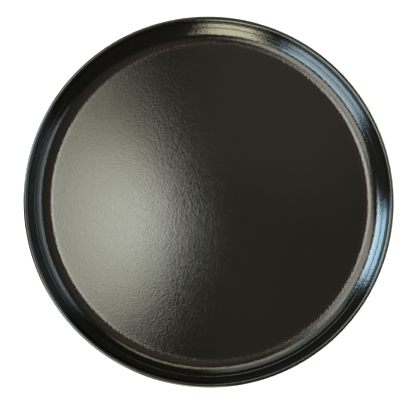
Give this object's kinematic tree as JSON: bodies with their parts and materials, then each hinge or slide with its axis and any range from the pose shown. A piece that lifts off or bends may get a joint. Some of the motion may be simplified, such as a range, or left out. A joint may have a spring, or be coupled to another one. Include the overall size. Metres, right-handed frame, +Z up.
{
  "type": "gold pan",
  "caption": "Shallow round pan in dark satin-finished sheet steel, with a flat floor, a short flared wall with a pressed crease, and an edge rolled over a stiffening wire.",
  "frame": {"origin": "centre of the pan's flat underside, on the surface it rests on", "axes": "+Z up along the pan's axis, out of its open mouth; X and Y lie in the plane it rests on"},
  "size_m": [0.356, 0.356, 0.018],
  "materials": {
    "dark_enamel": "satin brown-black baked coating with a fine grain, rubbed through to brown steel along the rim",
    "bare_wire": "drawn steel wire, dull and lightly oiled"
  },
  "bodies": {
    "root": {"pan_shell": "dark_enamel", "rim_wire": "bare_wire"}
  },
  "joints": []
}
